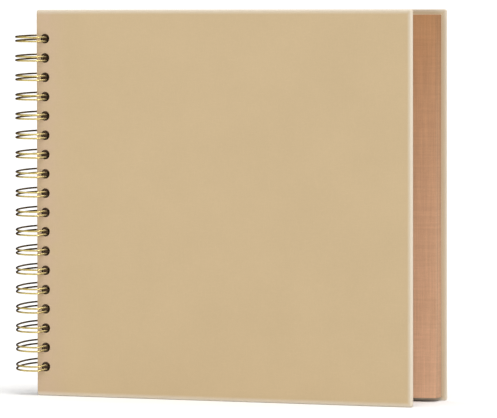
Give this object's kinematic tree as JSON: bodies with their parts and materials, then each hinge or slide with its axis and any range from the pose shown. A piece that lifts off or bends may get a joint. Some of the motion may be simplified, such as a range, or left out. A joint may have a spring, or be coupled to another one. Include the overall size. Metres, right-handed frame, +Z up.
{
  "type": "scrapbook album",
  "caption": "Wire-bound scrapbook album with wrapped board covers and loose punched leaves that turn on twin-loop rings.",
  "frame": {"origin": "on the floor under the middle of the album's bounding box as stored: standing on its tail edges, front cover open by 10 degrees", "axes": "+Z up along the spine, +X from the spine to the fore edge along the back cover, -Y the way the front cover faces when closed"},
  "size_m": [0.2906, 0.0743, 0.254],
  "materials": {
    "greyboard": "matt",
    "cover_paper": "matt, fine fibre texture",
    "lining_paper": "matt",
    "leaf_paper": "matt kraft, uncoated",
    "binding_wire": "polished lacquer"
  },
  "bodies": {
    "back_cover": {"back_cover_board": "greyboard", "back_cover_wrap": "cover_paper", "back_cover_lining": "lining_paper"},
    "front_cover": {"front_cover_board": "greyboard", "front_cover_wrap": "cover_paper", "front_cover_lining": "lining_paper"},
    "binding": {"binding_wire": "binding_wire"},
    "leaf_01": {"leaf_01": "leaf_paper"},
    "leaf_02": {"leaf_02": "leaf_paper"},
    "leaf_03": {"leaf_03": "leaf_paper"},
    "leaf_04": {"leaf_04": "leaf_paper"},
    "leaf_05": {"leaf_05": "leaf_paper"},
    "leaf_06": {"leaf_06": "leaf_paper"},
    "leaf_07": {"leaf_07": "leaf_paper"},
    "leaf_08": {"leaf_08": "leaf_paper"},
    "leaf_09": {"leaf_09": "leaf_paper"},
    "leaf_10": {"leaf_10": "leaf_paper"},
    "leaf_11": {"leaf_11": "leaf_paper"},
    "leaf_12": {"leaf_12": "leaf_paper"},
    "leaf_13": {"leaf_13": "leaf_paper"},
    "leaf_14": {"leaf_14": "leaf_paper"},
    "leaf_15": {"leaf_15": "leaf_paper"},
    "leaf_16": {"leaf_16": "leaf_paper"},
    "leaf_17": {"leaf_17": "leaf_paper"},
    "leaf_18": {"leaf_18": "leaf_paper"},
    "leaf_19": {"leaf_19": "leaf_paper"},
    "leaf_20": {"leaf_20": "leaf_paper"},
    "leaf_21": {"leaf_21": "leaf_paper"},
    "leaf_22": {"leaf_22": "leaf_paper"},
    "leaf_23": {"leaf_23": "leaf_paper"},
    "leaf_24": {"leaf_24": "leaf_paper"},
    "leaf_25": {"leaf_25": "leaf_paper"},
    "leaf_26": {"leaf_26": "leaf_paper"},
    "leaf_27": {"leaf_27": "leaf_paper"},
    "leaf_28": {"leaf_28": "leaf_paper"},
    "leaf_29": {"leaf_29": "leaf_paper"},
    "leaf_30": {"leaf_30": "leaf_paper"},
    "leaf_31": {"leaf_31": "leaf_paper"},
    "leaf_32": {"leaf_32": "leaf_paper"},
    "leaf_33": {"leaf_33": "leaf_paper"},
    "leaf_34": {"leaf_34": "leaf_paper"},
    "leaf_35": {"leaf_35": "leaf_paper"},
    "leaf_36": {"leaf_36": "leaf_paper"},
    "leaf_37": {"leaf_37": "leaf_paper"},
    "leaf_38": {"leaf_38": "leaf_paper"},
    "leaf_39": {"leaf_39": "leaf_paper"},
    "leaf_40": {"leaf_40": "leaf_paper"}
  },
  "joints": [
    {"name": "front_cover_hinge", "type": "hinge", "parent": "back_cover", "child": "front_cover", "pos_m": [-0.12974, 0.02164, 0.127], "axis": [0, 0, -1], "range_deg": [-10, 170]},
    {"name": "leaf_01_turn", "type": "hinge", "parent": "back_cover", "child": "leaf_01", "pos_m": [-0.12974, 0.02164, 0.127], "axis": [0, 0, -1], "range_deg": [-9.95, 169.15]},
    {"name": "leaf_02_turn", "type": "hinge", "parent": "back_cover", "child": "leaf_02", "pos_m": [-0.12974, 0.02164, 0.127], "axis": [0, 0, -1], "range_deg": [-9.9, 168.3]},
    {"name": "leaf_03_turn", "type": "hinge", "parent": "back_cover", "child": "leaf_03", "pos_m": [-0.12974, 0.02164, 0.127], "axis": [0, 0, -1], "range_deg": [-9.85, 167.45]},
    {"name": "leaf_04_turn", "type": "hinge", "parent": "back_cover", "child": "leaf_04", "pos_m": [-0.12974, 0.02164, 0.127], "axis": [0, 0, -1], "range_deg": [-9.8, 166.6]},
    {"name": "leaf_05_turn", "type": "hinge", "parent": "back_cover", "child": "leaf_05", "pos_m": [-0.12974, 0.02164, 0.127], "axis": [0, 0, -1], "range_deg": [-9.75, 165.75]},
    {"name": "leaf_06_turn", "type": "hinge", "parent": "back_cover", "child": "leaf_06", "pos_m": [-0.12974, 0.02164, 0.127], "axis": [0, 0, -1], "range_deg": [-9.7, 164.9]},
    {"name": "leaf_07_turn", "type": "hinge", "parent": "back_cover", "child": "leaf_07", "pos_m": [-0.12974, 0.02164, 0.127], "axis": [0, 0, -1], "range_deg": [-9.65, 164.05]},
    {"name": "leaf_08_turn", "type": "hinge", "parent": "back_cover", "child": "leaf_08", "pos_m": [-0.12974, 0.02164, 0.127], "axis": [0, 0, -1], "range_deg": [-9.6, 163.2]},
    {"name": "leaf_09_turn", "type": "hinge", "parent": "back_cover", "child": "leaf_09", "pos_m": [-0.12974, 0.02164, 0.127], "axis": [0, 0, -1], "range_deg": [-9.55, 162.35]},
    {"name": "leaf_10_turn", "type": "hinge", "parent": "back_cover", "child": "leaf_10", "pos_m": [-0.12974, 0.02164, 0.127], "axis": [0, 0, -1], "range_deg": [-9.5, 161.5]},
    {"name": "leaf_11_turn", "type": "hinge", "parent": "back_cover", "child": "leaf_11", "pos_m": [-0.12974, 0.02164, 0.127], "axis": [0, 0, -1], "range_deg": [-0.5, 8.5]},
    {"name": "leaf_12_turn", "type": "hinge", "parent": "back_cover", "child": "leaf_12", "pos_m": [-0.12974, 0.02164, 0.127], "axis": [0, 0, -1], "range_deg": [-0.48, 8.22]},
    {"name": "leaf_13_turn", "type": "hinge", "parent": "back_cover", "child": "leaf_13", "pos_m": [-0.12974, 0.02164, 0.127], "axis": [0, 0, -1], "range_deg": [-0.47, 7.93]},
    {"name": "leaf_14_turn", "type": "hinge", "parent": "back_cover", "child": "leaf_14", "pos_m": [-0.12974, 0.02164, 0.127], "axis": [0, 0, -1], "range_deg": [-0.45, 7.65]},
    {"name": "leaf_15_turn", "type": "hinge", "parent": "back_cover", "child": "leaf_15", "pos_m": [-0.12974, 0.02164, 0.127], "axis": [0, 0, -1], "range_deg": [-0.43, 7.37]},
    {"name": "leaf_16_turn", "type": "hinge", "parent": "back_cover", "child": "leaf_16", "pos_m": [-0.12974, 0.02164, 0.127], "axis": [0, 0, -1], "range_deg": [-0.42, 7.08]},
    {"name": "leaf_17_turn", "type": "hinge", "parent": "back_cover", "child": "leaf_17", "pos_m": [-0.12974, 0.02164, 0.127], "axis": [0, 0, -1], "range_deg": [-0.4, 6.8]},
    {"name": "leaf_18_turn", "type": "hinge", "parent": "back_cover", "child": "leaf_18", "pos_m": [-0.12974, 0.02164, 0.127], "axis": [0, 0, -1], "range_deg": [-0.38, 6.52]},
    {"name": "leaf_19_turn", "type": "hinge", "parent": "back_cover", "child": "leaf_19", "pos_m": [-0.12974, 0.02164, 0.127], "axis": [0, 0, -1], "range_deg": [-0.37, 6.23]},
    {"name": "leaf_20_turn", "type": "hinge", "parent": "back_cover", "child": "leaf_20", "pos_m": [-0.12974, 0.02164, 0.127], "axis": [0, 0, -1], "range_deg": [-0.35, 5.95]},
    {"name": "leaf_21_turn", "type": "hinge", "parent": "back_cover", "child": "leaf_21", "pos_m": [-0.12974, 0.02164, 0.127], "axis": [0, 0, -1], "range_deg": [-0.33, 5.67]},
    {"name": "leaf_22_turn", "type": "hinge", "parent": "back_cover", "child": "leaf_22", "pos_m": [-0.12974, 0.02164, 0.127], "axis": [0, 0, -1], "range_deg": [-0.32, 5.38]},
    {"name": "leaf_23_turn", "type": "hinge", "parent": "back_cover", "child": "leaf_23", "pos_m": [-0.12974, 0.02164, 0.127], "axis": [0, 0, -1], "range_deg": [-0.3, 5.1]},
    {"name": "leaf_24_turn", "type": "hinge", "parent": "back_cover", "child": "leaf_24", "pos_m": [-0.12974, 0.02164, 0.127], "axis": [0, 0, -1], "range_deg": [-0.28, 4.82]},
    {"name": "leaf_25_turn", "type": "hinge", "parent": "back_cover", "child": "leaf_25", "pos_m": [-0.12974, 0.02164, 0.127], "axis": [0, 0, -1], "range_deg": [-0.27, 4.53]},
    {"name": "leaf_26_turn", "type": "hinge", "parent": "back_cover", "child": "leaf_26", "pos_m": [-0.12974, 0.02164, 0.127], "axis": [0, 0, -1], "range_deg": [-0.25, 4.25]},
    {"name": "leaf_27_turn", "type": "hinge", "parent": "back_cover", "child": "leaf_27", "pos_m": [-0.12974, 0.02164, 0.127], "axis": [0, 0, -1], "range_deg": [-0.23, 3.97]},
    {"name": "leaf_28_turn", "type": "hinge", "parent": "back_cover", "child": "leaf_28", "pos_m": [-0.12974, 0.02164, 0.127], "axis": [0, 0, -1], "range_deg": [-0.22, 3.68]},
    {"name": "leaf_29_turn", "type": "hinge", "parent": "back_cover", "child": "leaf_29", "pos_m": [-0.12974, 0.02164, 0.127], "axis": [0, 0, -1], "range_deg": [-0.2, 3.4]},
    {"name": "leaf_30_turn", "type": "hinge", "parent": "back_cover", "child": "leaf_30", "pos_m": [-0.12974, 0.02164, 0.127], "axis": [0, 0, -1], "range_deg": [-0.18, 3.12]},
    {"name": "leaf_31_turn", "type": "hinge", "parent": "back_cover", "child": "leaf_31", "pos_m": [-0.12974, 0.02164, 0.127], "axis": [0, 0, -1], "range_deg": [-0.17, 2.83]},
    {"name": "leaf_32_turn", "type": "hinge", "parent": "back_cover", "child": "leaf_32", "pos_m": [-0.12974, 0.02164, 0.127], "axis": [0, 0, -1], "range_deg": [-0.15, 2.55]},
    {"name": "leaf_33_turn", "type": "hinge", "parent": "back_cover", "child": "leaf_33", "pos_m": [-0.12974, 0.02164, 0.127], "axis": [0, 0, -1], "range_deg": [-0.13, 2.27]},
    {"name": "leaf_34_turn", "type": "hinge", "parent": "back_cover", "child": "leaf_34", "pos_m": [-0.12974, 0.02164, 0.127], "axis": [0, 0, -1], "range_deg": [-0.12, 1.98]},
    {"name": "leaf_35_turn", "type": "hinge", "parent": "back_cover", "child": "leaf_35", "pos_m": [-0.12974, 0.02164, 0.127], "axis": [0, 0, -1], "range_deg": [-0.1, 1.7]},
    {"name": "leaf_36_turn", "type": "hinge", "parent": "back_cover", "child": "leaf_36", "pos_m": [-0.12974, 0.02164, 0.127], "axis": [0, 0, -1], "range_deg": [-0.08, 1.42]},
    {"name": "leaf_37_turn", "type": "hinge", "parent": "back_cover", "child": "leaf_37", "pos_m": [-0.12974, 0.02164, 0.127], "axis": [0, 0, -1], "range_deg": [-0.07, 1.13]},
    {"name": "leaf_38_turn", "type": "hinge", "parent": "back_cover", "child": "leaf_38", "pos_m": [-0.12974, 0.02164, 0.127], "axis": [0, 0, -1], "range_deg": [-0.051, 0.851]},
    {"name": "leaf_39_turn", "type": "hinge", "parent": "back_cover", "child": "leaf_39", "pos_m": [-0.12974, 0.02164, 0.127], "axis": [0, 0, -1], "range_deg": [-0.0343, 0.5671]},
    {"name": "leaf_40_turn", "type": "hinge", "parent": "back_cover", "child": "leaf_40", "pos_m": [-0.12974, 0.02164, 0.127], "axis": [0, 0, -1], "range_deg": [-0.0177, 0.2849]},
    {"name": "binding_roll", "type": "hinge", "parent": "back_cover", "child": "binding", "pos_m": [-0.12974, 0.02164, 0.127], "axis": [0, 0, -1], "range_deg": [-8, 8]}
  ],
  "couplings": [
    {"joint": "leaf_01_turn", "follows": "front_cover_hinge", "ratio": 0.995},
    {"joint": "leaf_02_turn", "follows": "front_cover_hinge", "ratio": 0.99},
    {"joint": "leaf_03_turn", "follows": "front_cover_hinge", "ratio": 0.985},
    {"joint": "leaf_04_turn", "follows": "front_cover_hinge", "ratio": 0.98},
    {"joint": "leaf_05_turn", "follows": "front_cover_hinge", "ratio": 0.975},
    {"joint": "leaf_06_turn", "follows": "front_cover_hinge", "ratio": 0.97},
    {"joint": "leaf_07_turn", "follows": "front_cover_hinge", "ratio": 0.965},
    {"joint": "leaf_08_turn", "follows": "front_cover_hinge", "ratio": 0.96},
    {"joint": "leaf_09_turn", "follows": "front_cover_hinge", "ratio": 0.955},
    {"joint": "leaf_10_turn", "follows": "front_cover_hinge", "ratio": 0.95},
    {"joint": "leaf_11_turn", "follows": "front_cover_hinge", "ratio": 0.05},
    {"joint": "leaf_12_turn", "follows": "front_cover_hinge", "ratio": 0.04833},
    {"joint": "leaf_13_turn", "follows": "front_cover_hinge", "ratio": 0.04667},
    {"joint": "leaf_14_turn", "follows": "front_cover_hinge", "ratio": 0.045},
    {"joint": "leaf_15_turn", "follows": "front_cover_hinge", "ratio": 0.04333},
    {"joint": "leaf_16_turn", "follows": "front_cover_hinge", "ratio": 0.04167},
    {"joint": "leaf_17_turn", "follows": "front_cover_hinge", "ratio": 0.04},
    {"joint": "leaf_18_turn", "follows": "front_cover_hinge", "ratio": 0.03833},
    {"joint": "leaf_19_turn", "follows": "front_cover_hinge", "ratio": 0.03667},
    {"joint": "leaf_20_turn", "follows": "front_cover_hinge", "ratio": 0.035},
    {"joint": "leaf_21_turn", "follows": "front_cover_hinge", "ratio": 0.03333},
    {"joint": "leaf_22_turn", "follows": "front_cover_hinge", "ratio": 0.03167},
    {"joint": "leaf_23_turn", "follows": "front_cover_hinge", "ratio": 0.03},
    {"joint": "leaf_24_turn", "follows": "front_cover_hinge", "ratio": 0.02833},
    {"joint": "leaf_25_turn", "follows": "front_cover_hinge", "ratio": 0.02667},
    {"joint": "leaf_26_turn", "follows": "front_cover_hinge", "ratio": 0.025},
    {"joint": "leaf_27_turn", "follows": "front_cover_hinge", "ratio": 0.02333},
    {"joint": "leaf_28_turn", "follows": "front_cover_hinge", "ratio": 0.02167},
    {"joint": "leaf_29_turn", "follows": "front_cover_hinge", "ratio": 0.02},
    {"joint": "leaf_30_turn", "follows": "front_cover_hinge", "ratio": 0.01833},
    {"joint": "leaf_31_turn", "follows": "front_cover_hinge", "ratio": 0.01667},
    {"joint": "leaf_32_turn", "follows": "front_cover_hinge", "ratio": 0.015},
    {"joint": "leaf_33_turn", "follows": "front_cover_hinge", "ratio": 0.01333},
    {"joint": "leaf_34_turn", "follows": "front_cover_hinge", "ratio": 0.01167},
    {"joint": "leaf_35_turn", "follows": "front_cover_hinge", "ratio": 0.01},
    {"joint": "leaf_36_turn", "follows": "front_cover_hinge", "ratio": 0.00833},
    {"joint": "leaf_37_turn", "follows": "front_cover_hinge", "ratio": 0.00667},
    {"joint": "leaf_38_turn", "follows": "front_cover_hinge", "ratio": 0.005},
    {"joint": "leaf_39_turn", "follows": "front_cover_hinge", "ratio": 0.00333},
    {"joint": "leaf_40_turn", "follows": "front_cover_hinge", "ratio": 0.00167}
  ]
}
